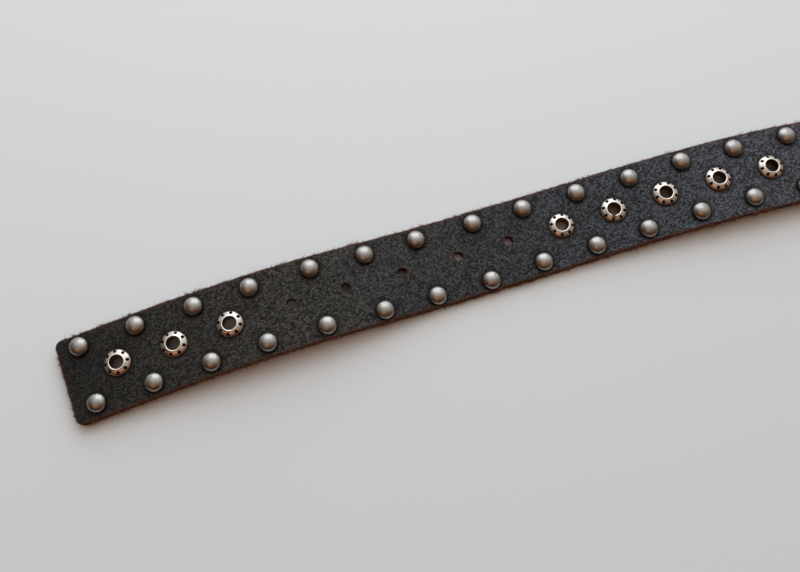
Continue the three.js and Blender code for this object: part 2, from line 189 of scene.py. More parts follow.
def station_of(node):
    """Where a construction piece sits: its length along the strap and its offset across."""
    low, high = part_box(node)
    centre = (low + high) / 2
    flat = [(point.x - centre.x) ** 2 + (point.y - centre.y) ** 2 for point in path]
    s = flat.index(min(flat)) * PATH_STEP
    point, along, across, _ = strap_at(s)
    away = Vector((centre.x - point.x, centre.y - point.y, 0))
    return s + away.dot(along), away.dot(across)


print("first upper stud:", [round(c / MM, 2) for c in station_of("stud_upper_01")], "mm along and across")

# %% [markdown]
# The camera looks down on the tip at about seventy degrees, as the photograph does. Its place
# is found from the strap: it aims at a point on the table near the middle one of the shown
# studs, and a photograph's width of 800 pixels and a lens of 900 pixels give the focal length.

# %% Camera
PHOTO_WIDTH = 800
LENS_PIXELS = 900
SENSOR = 36
camera_data = bpy.data.cameras.new("camera")
camera = bpy.data.objects.new("camera", camera_data)
bpy.context.scene.collection.objects.link(camera)
bpy.context.scene.camera = camera
camera_data.sensor_width = SENSOR
camera_data.lens = SENSOR * LENS_PIXELS / PHOTO_WIDTH
camera_data.clip_start = 0.01
camera_data.clip_end = 20
VIEW_TURN = math.radians(-18.3)
VIEW_HEIGHT = math.radians(72.5)
VIEW_ROLL = math.radians(4.37)
VIEW_DISTANCE = 400.3 * MM
AIM_ALONG = 147.8 * MM
AIM_ACROSS = 10.05 * MM
aim = Vector((path[0].x + AIM_ALONG, path[0].y + AIM_ACROSS, 0))
back = Vector((
    math.sin(VIEW_TURN) * math.cos(VIEW_HEIGHT),
    -math.cos(VIEW_TURN) * math.cos(VIEW_HEIGHT),
    math.sin(VIEW_HEIGHT),
))
level = Vector((math.cos(VIEW_TURN), math.sin(VIEW_TURN), 0))
upright = back.cross(level)
right = level * math.cos(VIEW_ROLL) + upright * math.sin(VIEW_ROLL)
up = upright * math.cos(VIEW_ROLL) - level * math.sin(VIEW_ROLL)
pose = Matrix((right, up, back)).transposed().to_4x4()
pose.translation = aim + back * VIEW_DISTANCE
camera.matrix_world = pose
print("lens", round(camera_data.lens, 2), "mm, camera at", [round(c, 3) for c in pose.translation])

# %% [markdown]
# Light comes from one wide window beyond the top of the picture, and the room behind the camera
# is dim and brown. Bright metal shows mostly what stands around it, so the room matters more
# here than any lamp: the world's colour falls off smoothly from the window's side to the other.
# One large area light on the window's side gives the shadows their direction. Hardly any light gets in
# under the strap, so shade is painted on the table: it is made browner where it is covered all round,
# which keeps the punched holes dark. The table is also painted a little darker towards the camera, as the
# light falls off.

# %% Table and window
bpy.context.scene.view_settings.view_transform = "Standard"
TABLE_SIZE = 6
bpy.ops.mesh.primitive_plane_add(size=TABLE_SIZE, location=(0, 0, 0))
table = bpy.context.object
table.name = "table"
WINDOW_WAY = Vector((0.16, 0.82, 0.55)).normalized()
WINDOW_AWAY = 0.75
WINDOW_SIZE = 0.72
WINDOW_POWER = 2.1
window_data = bpy.data.lights.new("window", "AREA")
window_data.shape = "RECTANGLE"
window_data.size = WINDOW_SIZE
window_data.size_y = WINDOW_SIZE
window_data.energy = WINDOW_POWER
window_data.color = (1, 0.99, 0.98)
window = bpy.data.objects.new("window", window_data)
bpy.context.scene.collection.objects.link(window)
window.location = aim + WINDOW_WAY * WINDOW_AWAY
window.rotation_euler = WINDOW_WAY.to_track_quat("Z", "Y").to_euler()
print("window at", [round(c, 2) for c in window.location])


# %% Node helpers
def add(tree, kind, inputs=None, **settings):
    """Adds a node, sets its own settings, and fills or links its inputs."""
    made = tree.nodes.new(kind)
    for name, value in settings.items():
        setattr(made, name, value)
    for name, value in (inputs or {}).items():
        if isinstance(value, bpy.types.NodeSocket):
            tree.links.new(value, made.inputs[name])
        else:
            made.inputs[name].default_value = value
    return made


def mixed(tree, factor, first, second, blend="MIX"):
    """A colour between two colours."""
    made = add(tree, "ShaderNodeMix", {0: factor, 6: first, 7: second}, data_type="RGBA")
    made.blend_type = blend
    return made.outputs[2]


def worked(tree, operation, first, second=0.0, clamp=False):
    """A number worked out from two numbers."""
    made = add(tree, "ShaderNodeMath", {0: first, 1: second}, operation=operation)
    made.use_clamp = clamp
    return made.outputs[0]


def weighted(tree, value, share):
    return worked(tree, "MULTIPLY", value, share)


def spread(tree, value, low, high, to_low=0.0, to_high=1.0):
    """A number moved smoothly from one range to another."""
    inputs = {"Value": value, "From Min": low, "From Max": high, "To Min": to_low, "To Max": to_high}
    made = add(tree, "ShaderNodeMapRange", inputs, interpolation_type="SMOOTHSTEP")
    return made.outputs["Result"]


def noise(tree, vector, scale, detail=3.0, roughness=0.55):
    inputs = {"Vector": vector, "Scale": scale, "Detail": detail, "Roughness": roughness}
    return add(tree, "ShaderNodeTexNoise", inputs).outputs["Fac"]


# %% The room around the table
world = bpy.data.worlds.new("room")
bpy.context.scene.world = world
world.use_nodes = True
sky = world.node_tree
sky.nodes.clear()
DIM_SIDE = (1.0, 0.42, 0.2, 1)
MIDDLE_SIDE = (1.0, 0.7, 0.48, 1)
WINDOW_SIDE = (0.96, 1.0, 1.04, 1)
GLOW = (0.46, 0.17, 0.055)
GLOW_WAY = Vector((-0.34, -0.4, 0.85)).normalized()
DARK_WAY = Vector((-0.98, 0.1, 0.15)).normalized()
ROOM_LEVEL = 0.29
ROOM_RISE = 1.85
MOST_LEVEL = 4.0
MIDDLE_SPAN = (-0.5, 0.25)
WINDOW_SPAN = (0.12, 0.9)
DARK_SPAN = (0.35, 1.0)
DARK_SHARE = 0.4
GLOW_SPAN = (0.91, 1.0)


def facing(tree, vector, direction):
    """How much a way from the middle of the room points in one direction."""
    made = add(tree, "ShaderNodeVectorMath", {0: vector, 1: direction}, operation="DOT_PRODUCT")
    return made.outputs["Value"]


def scaled(tree, vector, share):
    return add(tree, "ShaderNodeVectorMath", {0: vector, 3: share}, operation="SCALE").outputs[0]


way = add(sky, "ShaderNodeTexCoord").outputs["Generated"]
toward = facing(sky, way, WINDOW_WAY)
tint = mixed(sky, spread(sky, toward, *MIDDLE_SPAN), DIM_SIDE, MIDDLE_SIDE)
tint = mixed(sky, spread(sky, toward, *WINDOW_SPAN), tint, WINDOW_SIDE)
brightness = worked(sky, "EXPONENT", weighted(sky, toward, ROOM_RISE))
brightness = worked(sky, "MINIMUM", brightness, MOST_LEVEL)
dark = facing(sky, way, DARK_WAY)
brightness = weighted(sky, brightness, spread(sky, dark, *DARK_SPAN, 1.0, DARK_SHARE))
room = scaled(sky, tint, brightness)
near = facing(sky, way, GLOW_WAY)
glow = scaled(sky, scaled(sky, GLOW, spread(sky, near, *GLOW_SPAN)), 1 / ROOM_LEVEL)
room = add(sky, "ShaderNodeVectorMath", {0: room, 1: glow}, operation="ADD").outputs[0]
light = add(sky, "ShaderNodeBackground", {"Color": room, "Strength": ROOM_LEVEL})
add(sky, "ShaderNodeOutputWorld", {"Surface": light.outputs[0]})
print("room of", len(sky.nodes), "nodes")


# %% Table top
def new_material(name):
    """An empty material with its Principled shader, which the caller fills."""
    made = bpy.data.materials.new(name)
    made.use_nodes = True
    tree = made.node_tree
    tree.nodes.clear()
    shader = tree.nodes.new("ShaderNodeBsdfPrincipled")
    add(tree, "ShaderNodeOutputMaterial", {"Surface": shader.outputs[0]})
    return made, tree, shader


TABLE_NEAR_SHADED = (0.735, 0.81, 0.853, 1)
TABLE_FAR_LIT = (0.783, 0.857, 0.903, 1)
TABLE_FALLOFF_SPAN = (-0.08, 0.24)
PAINTED_SHADE_TINT = (0.3, 0.2, 0.14, 1)
PAINTED_SHADE_SPAN = (0.1, 0.5)
PAINTED_SHADE_REACH = 12 * MM
table_top, tree, shader = new_material("table_top")
place = add(tree, "ShaderNodeTexCoord").outputs["Object"]
# Painted light falloff: the table is made darker towards the camera and lighter towards the window, with
# a little clouding.
far_away = add(tree, "ShaderNodeSeparateXYZ", {0: place}).outputs["Y"]
falloff_and_clouding = worked(tree, "ADD", weighted(tree, noise(tree, place, 3.0), 0.2), far_away)
bare_with_falloff = mixed(tree, spread(tree, falloff_and_clouding, *TABLE_FALLOFF_SPAN), TABLE_NEAR_SHADED, TABLE_FAR_LIT)
# Painted shade: the table is made browner where the strap covers it all round.
opened = add(tree, "ShaderNodeAmbientOcclusion", {"Distance": PAINTED_SHADE_REACH}, samples=6).outputs["AO"]
painted_shade = mixed(tree, spread(tree, opened, *PAINTED_SHADE_SPAN), PAINTED_SHADE_TINT, (1, 1, 1, 1))
tree.links.new(mixed(tree, 1.0, bare_with_falloff, painted_shade, "MULTIPLY"), shader.inputs["Base Color"])
shader.inputs["Roughness"].default_value = 0.75
table.data.materials.append(table_top)
print("table finish of", len(tree.nodes), "nodes")


# %% [markdown]
# A few helpers keep the modelling cells short. Operators act on what is selected, so each helper
# starts by clearing the selection.

# %% Modelling helpers
def activate(piece):
    if bpy.context.mode != "OBJECT":
        bpy.ops.object.mode_set(mode="OBJECT")
    bpy.ops.object.select_all(action="DESELECT")
    piece.select_set(True)
    bpy.context.view_layer.objects.active = piece


def apply_modifiers(piece):
    activate(piece)
    for modifier in list(piece.modifiers):
        bpy.ops.object.modifier_apply(modifier=modifier.name)


def clean(piece, distance=0.002 * MM):
    """Merges doubled points and turns every face outwards."""
    activate(piece)
    bpy.ops.object.mode_set(mode="EDIT")
    bpy.ops.mesh.select_all(action="SELECT")
    bpy.ops.mesh.remove_doubles(threshold=distance)
    bpy.ops.mesh.normals_make_consistent(inside=False)
    bpy.ops.object.mode_set(mode="OBJECT")


def smooth(piece, degrees=40):
    activate(piece)
    bpy.ops.object.shade_smooth_by_angle(angle=math.radians(degrees))


def turned(name, profile, sides):
    """A round piece: a circle, then each ring extruded from the last one and scaled."""
    least = 0.001 * MM
    rings = [(max(radius * MM, least), height * MM) for radius, height in profile]
    radius, height = rings[0]
    bpy.ops.mesh.primitive_circle_add(vertices=sides, radius=radius, location=(0, 0, height))
    piece = bpy.context.object
    piece.name = name
    bpy.ops.object.transform_apply(location=True)
    bpy.ops.object.mode_set(mode="EDIT")
    bpy.ops.mesh.select_all(action="SELECT")
    for next_radius, next_height in rings[1:]:
        rise = (0, 0, next_height - height)
        bpy.ops.mesh.extrude_region_move(TRANSFORM_OT_translate={"value": rise})
        grown = next_radius / radius
        bpy.ops.transform.resize(value=(grown, grown, 1), center_override=(0, 0, next_height))
        radius, height = next_radius, next_height
    bpy.ops.object.mode_set(mode="OBJECT")
    clean(piece)
    return piece


def rounded(piece, width, segments):
    """Rounds the sharp edges of a piece, with whatever else waits to be applied."""
    rounding = piece.modifiers.new("rounding", "BEVEL")
    rounding.width = width
    rounding.segments = segments
    rounding.limit_method = "ANGLE"
    apply_modifiers(piece)


def cut(piece, cutter):
    """Takes one shape out of another and deletes the cutter."""
    activate(piece)
    modifier = piece.modifiers.new("cut", "BOOLEAN")
    modifier.operation = "DIFFERENCE"
    modifier.solver = "EXACT"
    modifier.object = cutter
    bpy.ops.object.modifier_apply(modifier=modifier.name)
    bpy.data.objects.remove(cutter)


def joined(name, pieces):
    activate(pieces[0])
    for piece in pieces:
        piece.select_set(True)
    bpy.ops.object.join()
    pieces[0].name = name
    return pieces[0]


def keep_places(piece, attribute):
    """Stores where each point is now, so that a material can follow the piece when it moves."""
    count = len(piece.data.vertices)
    places = np.zeros(count * 3, np.float32)
    piece.data.vertices.foreach_get("co", places)
    layer = piece.data.attributes.new(attribute, "FLOAT_VECTOR", "POINT")
    layer.data.foreach_set("vector", places)
    return places.reshape(-1, 3)


# %% [markdown]
# Every set piece has a place: a length along the strap, an offset across it and a turn. The
# shown ones are read from the construction model, whose maker set each a little off its mark.
# Those past the shown stretch are regular. The punched holes slip too, by the shares of a pitch
# that stand in a short table, and so do the turns of the eyelets, in degrees.

# %% Where studs, eyelets and holes are
SPLIT_EYELET = 9
HOLE_SLIPS = {3: (0.05, 0.01), 4: (0, 0.01), 5: (0.03, 0.01), 6: (0.08, 0.01), 7: (0.02, 0.02)}
TURN_STEP = 17
TURN_LIMIT = 45
EYELET_TURNS = {0: -52, 1: -28, 2: -23, 8: -20, 9: -24, 10: -33, 11: -26, 12: -43}
studs, eyelets, holes = [], [], []
for i in range(PAIRS):
    for row, sign in (("upper", 1), ("lower", -1)):
        node = f"stud_{row}_{i + 1:02d}"
        regular = (TIP_MARGIN + i * PITCH, sign * ROW_OFFSET)
        place = station_of(node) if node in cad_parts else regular
        studs.append((node, *place))
    if i == PAIRS - 1:
        continue
    node = f"eyelet_{i + 1:02d}"
    middle = (TIP_MARGIN + (i + 0.5) * PITCH, MIDDLE_OFFSET)
    if i in HOLE_SLIPS:
        along, across = HOLE_SLIPS[i]
        holes.append((middle[0] + along * PITCH, middle[1] + across * PITCH))
    else:
        place = station_of(node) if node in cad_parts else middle
        turn = EYELET_TURNS.get(i, TURN_STEP * i % TURN_LIMIT)
        eyelets.append((node, *place, math.radians(turn)))
print(len(studs), "studs,", len(eyelets), "eyelets,", len(holes), "plain holes")

# %% [markdown]
# The strap is cut flat, as a saddler cuts it, and bent at the very end. A fine grid is given its
# thickness, its tip is rounded, and its cut edges are roughened. A grid is used, and not a plain
# block, because the leather is pressed down under each stud and the edges wander a little.

# %% Strap: flat blank
CELL = PITCH / 20
ACROSS = 30
bpy.ops.mesh.primitive_grid_add(
    x_subdivisions=round(FLAT_LENGTH / CELL),
    y_subdivisions=ACROSS,
    size=1,
    location=(FLAT_LENGTH / 2, 0, THICKNESS),
)
strap = bpy.context.object
strap.name = "leather_strap"
strap.scale = (FLAT_LENGTH, STRAP_WIDTH, 1)
bpy.ops.object.transform_apply(location=True, rotation=True, scale=True)
for point in strap.data.vertices:
    x, y, _ = point.co
    u = (TIP_RADIUS - x) / TIP_RADIUS
    v = (abs(y) - STRAP_WIDTH / 2 + TIP_RADIUS) / TIP_RADIUS
    if u > 0 and v > 0:
        x = TIP_RADIUS * (1 - u * math.sqrt(1 - v * v / 2))
        inner = STRAP_WIDTH / 2 - TIP_RADIUS
        y = math.copysign(inner + TIP_RADIUS * v * math.sqrt(1 - u * u / 2), y)
    point.co.x = x + TIP_SKEW * y / STRAP_WIDTH * (1 - ease(x / PITCH))
    point.co.y = y
solid = strap.modifiers.new("thickness", "SOLIDIFY")
solid.thickness = THICKNESS
solid.offset = -1
apply_modifiers(strap)
clean(strap)
print("blank of", len(strap.data.polygons), "faces")

# %% Strap: walls and rounded rims
WALL_CUTS = 3
RIM_ROUND = 0.35 * MM
activate(strap)
for edge in strap.data.edges:
    ends = [strap.data.vertices[index].co.z for index in edge.vertices]
    edge.select = abs(ends[0] - ends[1]) > THICKNESS / 2
for point in strap.data.vertices:
    point.select = False
for face in strap.data.polygons:
    face.select = False
bpy.context.tool_settings.mesh_select_mode = (False, True, False)
bpy.ops.object.mode_set(mode="EDIT")
bpy.ops.mesh.subdivide(number_cuts=WALL_CUTS)
bpy.ops.mesh.select_all(action="DESELECT")
bpy.ops.mesh.edges_select_sharp(sharpness=math.radians(60))
bpy.ops.mesh.bevel(offset=RIM_ROUND, segments=2, affect="EDGES")
bpy.ops.object.mode_set(mode="OBJECT")
bpy.context.tool_settings.mesh_select_mode = (True, False, False)
print("with walls", len(strap.data.polygons), "faces")


# %% [markdown]
# Relief comes from Displace modifiers, each limited by a vertex group. Weights are worked out in
# code from the distance to the nearest stud or eyelet, or from the distance to the cut edge.

# %% Strap: relief
DENT_DEPTH = 0.45 * MM
DOME_RADIUS = 4.4 * MM
RING_RADIUS = 5.9 * MM
DENT_PAST = 1.7 * MM
DENT_SLOPE = 1.8 * MM
SAG = 0.3 * MM
SAG_SIZE = 9 * MM
WANDER = 0.4 * MM
WANDER_SIZE = 6 * MM
WANDER_REACH = 1.2 * MM
FRAY = 0.7 * MM
FRAY_SIZE = 2 * MM
FRAY_REACH = 0.5 * MM


def clouds(name, size):
    made = bpy.data.textures.new(name, "CLOUDS")
    made.noise_scale = size
    made.noise_depth = 2
    return made


def weigh(piece, name, weights):
    """A vertex group with one weight for each point."""
    group = piece.vertex_groups.new(name=name)
    for index in np.nonzero(weights > 0.01)[0]:
        group.add([int(index)], float(weights[index]), "REPLACE")
    return group.name


def displace(piece, group, strength, texture=None, direction="NORMAL"):
    modifier = piece.modifiers.new("relief", "DISPLACE")
    modifier.vertex_group = group
    modifier.direction = direction
    modifier.strength = strength
    modifier.mid_level = 0.5 if texture else 0
    modifier.texture = texture
    modifier.texture_coords = "LOCAL"


def pressed(places):
    """How much the leather is pressed down at each place: 1 under a set piece, 0 away from it."""
    most = np.zeros(len(places))
    for radius, set_pieces in ((DOME_RADIUS, studs), (RING_RADIUS, eyelets)):
        for _, s, offset, *_ in set_pieces:
            away = np.hypot(places[:, 0] - s, places[:, 1] - offset)
            fall = np.clip((radius + DENT_PAST - away) / DENT_SLOPE, 0, 1)
            most = np.maximum(most, fall * fall * (3 - 2 * fall))
    return most


places = np.array([point.co for point in strap.data.vertices])
on_top = places[:, 2] > THICKNESS - RIM_ROUND / 2
edge_away = np.minimum(STRAP_WIDTH / 2 - np.abs(places[:, 1]), places[:, 0])
displace(strap, weigh(strap, "dents", pressed(places) * on_top), -DENT_DEPTH, direction="Z")
displace(strap, weigh(strap, "face", on_top * 1.0), SAG, clouds("sag", SAG_SIZE), "Z")
rim = np.clip(1 - edge_away / WANDER_REACH, 0, 1)
displace(strap, weigh(strap, "rim", rim), WANDER, clouds("wander", WANDER_SIZE))
wall = (edge_away < FRAY_REACH) * 1.0
displace(strap, weigh(strap, "wall", wall), FRAY, clouds("fray", FRAY_SIZE))
apply_modifiers(strap)
print("relief on", int(on_top.sum()), "points of the face")


# %% [markdown]
# Holes are cut before the strap is bent, because then every drill stands upright. One joined
# cutter takes out the prong holes, the eyelets' bores, the little pockets in the back where the
# rivets' ends are spread, and the slot for the buckle's prong.

# %% Strap: holes
DRILL_SIDES = 32
PEEN_SIDES = 20


def drill(s, offset, radius, low, high, sides=DRILL_SIDES):
    place = (s, offset, (low + high) / 2)
    bpy.ops.mesh.primitive_cylinder_add(vertices=sides, radius=radius, depth=high - low, location=place)
    made = bpy.context.object
    bpy.ops.object.transform_apply(location=True)
    return made


PAST = 1 * MM
PEEN_POCKET = 2.5 * MM
ROLL_POCKET = 4.2 * MM
POCKET_DEPTH = 0.6 * MM
BARREL_HOLE = 3.5 * MM
PRONG_HOLE = 2.15 * MM
SLOT_REACH = 14 * MM
SLOT_WIDTH = 6 * MM
LAP_STARTS = BAR_AT - LAP


def under_lap(s):
    """The place on the folded-back layer that lies under a place on the strap."""
    return 2 * BAR_AT + FOLD_LENGTH - s


def pocket(s, offset, radius, sides):
    """A round pocket for a spread end, in the strap's back or under the folded-back layer."""
    if s > LAP_STARTS:
        return drill(under_lap(s), offset, radius, THICKNESS - POCKET_DEPTH, THICKNESS + PAST, sides)
    return drill(s, offset, radius, -PAST, POCKET_DEPTH, sides)


cutters = []
for s, offset in holes:
    cutters.append(drill(s, offset, PRONG_HOLE, -PAST, THICKNESS + PAST))
for _, s, offset, _ in eyelets:
    cutters.append(drill(s, offset, BARREL_HOLE, -PAST, THICKNESS + PAST))
    if s > LAP_STARTS:
        cutters.append(drill(under_lap(s), offset, BARREL_HOLE, -PAST, THICKNESS + PAST))
    cutters.append(pocket(s, offset, ROLL_POCKET, DRILL_SIDES))
for _, s, offset in studs:
    cutters.append(pocket(s, offset, PEEN_POCKET, PEEN_SIDES))
slot_middle = BAR_AT + FOLD_LENGTH / 2
slot_half = SLOT_REACH + FOLD_LENGTH / 2 - SLOT_WIDTH / 2
bpy.ops.mesh.primitive_cube_add(size=1, location=(slot_middle, 0, THICKNESS / 2))
slot_cutter = bpy.context.object
slot_cutter.scale = (2 * slot_half, SLOT_WIDTH, THICKNESS + 2 * PAST)
bpy.ops.object.transform_apply(location=True, scale=True)
cut(strap, slot_cutter)
for end in (-1, 1):
    cutters.append(drill(slot_middle + end * slot_half, 0, SLOT_WIDTH / 2, -PAST, THICKNESS + PAST))
cut(strap, joined("drills", cutters))
clean(strap)
flat_places = keep_places(strap, "flat")
layer = strap.data.attributes.new("pressed", "FLOAT", "POINT")
layer.data.foreach_set("value", pressed(flat_places).astype(np.float32))
print("cut strap:", len(strap.data.polygons), "faces")

# %% [markdown]
# The flat strap now follows its path by a Curve modifier, fold and all. It could be modelled
# bent from the start, but then every drill would have to be tilted. The curve is a chain of
# straight steps, one for each millimetre and finer round the bar.

# %% Strap: bend it along its path
FOLD_STEPS = 24
line = bpy.data.curves.new("lie", "CURVE")
line.dimensions = "3D"
line.twist_mode = "MINIMUM"
line.use_deform_bounds = False
way_points = [strap_at(i * PATH_STEP)[0] for i in range(int(BAR_AT / PATH_STEP) + 1)]
way_points += [strap_at(BAR_AT + FOLD_LENGTH * i / FOLD_STEPS)[0] for i in range(FOLD_STEPS + 1)]
way_points.append(strap_at(FLAT_LENGTH)[0])
spline = line.splines.new("POLY")
spline.points.add(len(way_points) - 1)
for point, place in zip(spline.points, way_points):
    point.co = (*place, 1)
lie = bpy.data.objects.new("lie", line)
bpy.context.scene.collection.objects.link(lie)
bend = strap.modifiers.new("bend", "CURVE")
bend.object = lie
bend.deform_axis = "POS_X"
apply_modifiers(strap)
bpy.data.objects.remove(lie)
smooth(strap, 50)
low = min(point.co.z for point in strap.data.vertices)
print("lowest point of the strap", round(low / MM, 2), "mm")


# %% [markdown]
# A stud is a pressed cap over a post. Its dome is a little flatter than half a ball and runs down
# to the leather, and the post's end is spread flat in the strap's back. It is turned once and
# then copied to every place, each copy with its own mesh and a turn of its own.

# %% Stud
STUD_SIDES = 40
STUD_TURN = 1000
DOME_RISE = 3.3 * MM
DOME_ANGLES = np.radians([0, 8, 17, 27, 37, 47, 57, 66, 75, 83])


def stud_profile(depth):
    """Rings in millimetres: the spread end, the post, the foot of the cap and the dome."""
    width, rise = DOME_RADIUS / MM, DOME_RISE / MM
    dome = [(width * math.cos(angle), rise * math.sin(angle)) for angle in DOME_ANGLES]
    back = -depth / MM
    peen = [(0, 0.02), (1.3, 0.04), (2.0, 0.14), (2.3, 0.34), (2.2, 0.55), (1.5, 0.6)]
    peen = [(radius, back + height) for radius, height in peen]
    foot = [(1.5, -0.35), (4.15, -0.34), (4.33, -0.24)]
    return peen + foot + dome + [(0, rise)]


stud_forms = {
    False: turned("stud", stud_profile(THICKNESS), STUD_SIDES),
    True: turned("stud_long", stud_profile(2 * THICKNESS + SEAT_GAP), STUD_SIDES),
}
for form in stud_forms.values():
    smooth(form)
    keep_places(form, "own")
    print(form.name, len(form.data.polygons), "faces")


def copy_to(form, name, matrix):
    """A copy with its own mesh, whose place is in the mesh."""
    made = bpy.data.objects.new(name, form.data.copy())
    bpy.context.scene.collection.objects.link(made)
    made.data.transform(matrix)
    return made


made_studs = []
for node, s, offset in studs:
    form = stud_forms[s > LAP_STARTS]
    placed = seat(s, offset, s * STUD_TURN)
    made_studs.append((node, copy_to(form, node.replace("stud", "dome"), placed)))
for form in stud_forms.values():
    bpy.data.objects.remove(form)


# %% [markdown]
# An eyelet is pressed from sheet: a sloping ring pierced by eight small holes, a rounded crest,
# and a barrel that goes down through the leather and is rolled open at the back. The sheet is
# thin and hollow below, so the small holes show dark. One of them has burst: its tear starts at
# the bore and runs out through one of the small holes.

# %% Eyelet
def eyelet_profile(depth):
    """Rings in millimetres: over the sheet, round the rolled end and back up underneath."""
    back = -depth / MM
    foot = [(5.8, -0.3), (5.95, -0.15), (5.98, 0.0), (5.86, 0.22)]
    slope = [(5.5, 0.62), (5.0, 0.98), (4.5, 1.22), (4.1, 1.36), (3.85, 1.42)]
    crest = [(3.7, 1.55), (3.5, 1.66), (3.3, 1.69), (3.12, 1.62), (3.02, 1.45), (3.0, 1.2)]
    roll = [(3.0, 0.8), (3.1, 0.4), (3.35, 0.12), (3.75, 0.06)]
    roll += [(4.05, 0.22), (3.9, 0.42), (3.5, 0.5), (3.3, 0.9)]
    roll = [(radius, back + height) for radius, height in roll]
    inside = [(3.3, 0.9), (3.5, 1.15), (4.2, 1.05), (5.0, 0.65), (5.55, 0.15), (5.7, -0.25)]
    return foot + slope + crest + roll + inside + [foot[0]]


EYELET_SIDES = 64
DOT_COUNT = 8
DOT_RADIUS = 4.74 * MM
DOT_SIZE = 0.74 * MM
SPLIT_WIDTH = 1.6 * MM
SPLIT_DOT = 6
DOT_SIDES = 16
DRILL_HEIGHT = 3 * MM
TEAR_MIDDLE = (4.6 * MM, 0, 0.6 * MM)
TEAR_LENGTH = 4.4 * MM
TEAR_HEIGHT = 4.2 * MM


def eyelet_form(name, depth, split):
    form = turned(name, eyelet_profile(depth), EYELET_SIDES)
    dots = []
    for i in range(DOT_COUNT):
        angle = 2 * math.pi * i / DOT_COUNT
        place = (DOT_RADIUS * math.cos(angle), DOT_RADIUS * math.sin(angle))
        dots.append(drill(*place, DOT_SIZE, 0, DRILL_HEIGHT, DOT_SIDES))
    cut(form, joined("dots", dots))
    if split:
        way = 2 * math.pi * SPLIT_DOT / DOT_COUNT
        bpy.ops.mesh.primitive_cube_add(size=1, location=TEAR_MIDDLE)
        tear = bpy.context.object
        tear.scale = (TEAR_LENGTH, SPLIT_WIDTH, TEAR_HEIGHT)
        bpy.ops.object.transform_apply(location=True, scale=True)
        tear.data.transform(Matrix.Rotation(way, 4, "Z"))
        cut(form, tear)
    smooth(form)
    keep_places(form, "own")
    return form


eyelet_forms = {
    "plain": eyelet_form("eyelet", THICKNESS, False),
    "split": eyelet_form("eyelet_split", THICKNESS, True),
    "long": eyelet_form("eyelet_long", 2 * THICKNESS + SEAT_GAP, False),
}
made_eyelets = []
split_node = f"eyelet_{SPLIT_EYELET + 1:02d}"
for node, s, offset, turn in eyelets:
    kind = "split" if node == split_node else "long" if s > LAP_STARTS else "plain"
    name = node.replace("eyelet", "ring")
    made_eyelets.append((node, copy_to(eyelet_forms[kind], name, seat(s, offset, turn))))
for form in eyelet_forms.values():
    print(form.name, len(form.data.polygons), "faces")
    bpy.data.objects.remove(form)

# %% [markdown]
# The buckle lies past the edge of the photograph, so it is a plain one: a rounded frame, a round
# bar through the fold of the strap, and a prong whose eye goes round the bar. It is modelled
# level, with the bar's centre at the origin, then leaned down onto the table.

# %% Buckle frame
RAIL = 5 * MM
FRAME_GAP = 1.2 * MM
FRAME_INNER = STRAP_WIDTH / 2 + FRAME_GAP
FRAME_OUTER = FRAME_INNER + RAIL
OPENING = 27 * MM
FRONT = OPENING + RAIL
TAIL = BAR_RADIUS + 0.95 * MM
FRAME_THICK = 4 * MM
FRAME_CORNER = 6 * MM
bpy.ops.mesh.primitive_plane_add(size=1, location=(0, 0, -FRAME_THICK / 2))
buckle = bpy.context.object
buckle.name = "buckle_frame"
buckle.scale = (2 * FRONT, 2 * FRAME_OUTER, 1)
bpy.ops.object.transform_apply(location=True, scale=True)
bpy.ops.object.mode_set(mode="EDIT")
bpy.ops.mesh.select_all(action="SELECT")
bpy.ops.mesh.bevel(offset=FRAME_CORNER, segments=8, affect="VERTICES")
bpy.ops.mesh.select_all(action="SELECT")
bpy.ops.mesh.inset(thickness=RAIL)
bpy.ops.mesh.delete(type="ONLY_FACE")
bpy.ops.mesh.select_all(action="SELECT")
bpy.ops.mesh.bisect(plane_co=(-TAIL, 0, 0), plane_no=(1, 0, 0), clear_inner=True)
bpy.ops.object.mode_set(mode="OBJECT")
solid = buckle.modifiers.new("thickness", "SOLIDIFY")
solid.thickness = FRAME_THICK
solid.offset = 1
rounded(buckle, 1.5 * MM, 5)
clean(buckle)
print("frame of", len(buckle.data.polygons), "faces")

# %% Buckle bar and prong
PRONG_WIDTH = 4 * MM
PRONG_THICK = 2.6 * MM
PRONG_EYE = BAR_RADIUS + 1.8 * MM
PRONG_OVERHANG = 1.5 * MM
PRONG_SINK = 0.1 * MM
across_bar = Matrix.Rotation(math.pi / 2, 4, "X")
bpy.ops.mesh.primitive_cylinder_add(vertices=32, radius=BAR_RADIUS, depth=FRAME_INNER + FRAME_OUTER)
rod = bpy.context.object
rod.data.transform(across_bar)
bpy.ops.mesh.primitive_cylinder_add(vertices=32, radius=PRONG_EYE, depth=PRONG_WIDTH)
eye = bpy.context.object
eye.data.transform(across_bar)
prong_length = FRONT + PRONG_OVERHANG
prong_height = FRAME_THICK / 2 + PRONG_THICK / 2 - PRONG_SINK
bpy.ops.mesh.primitive_cube_add(size=1, location=(prong_length / 2, 0, prong_height))
prong = bpy.context.object
prong.scale = (prong_length, PRONG_WIDTH, PRONG_THICK)
bpy.ops.object.transform_apply(location=True, scale=True)
bpy.ops.object.mode_set(mode="EDIT")
bpy.ops.mesh.select_all(action="SELECT")
bpy.ops.mesh.subdivide(number_cuts=9)
bpy.ops.object.mode_set(mode="OBJECT")
for point in prong.data.vertices:
    share = point.co.x / prong_length
    point.co.y *= 1 - 0.35 * ease((share - 0.3) / 0.7)
    point.co.z = prong_height + (point.co.z - prong_height) * (1 - 0.25 * ease((share - 0.6) / 0.4))
for piece in (eye, prong):
    rounded(piece, 0.7 * MM, 3)
for piece in (rod, eye, prong):
    activate(buckle)
    union = buckle.modifiers.new("union", "BOOLEAN")
    union.operation = "UNION"
    union.object = piece
    apply_modifiers(buckle)
    bpy.data.objects.remove(piece)
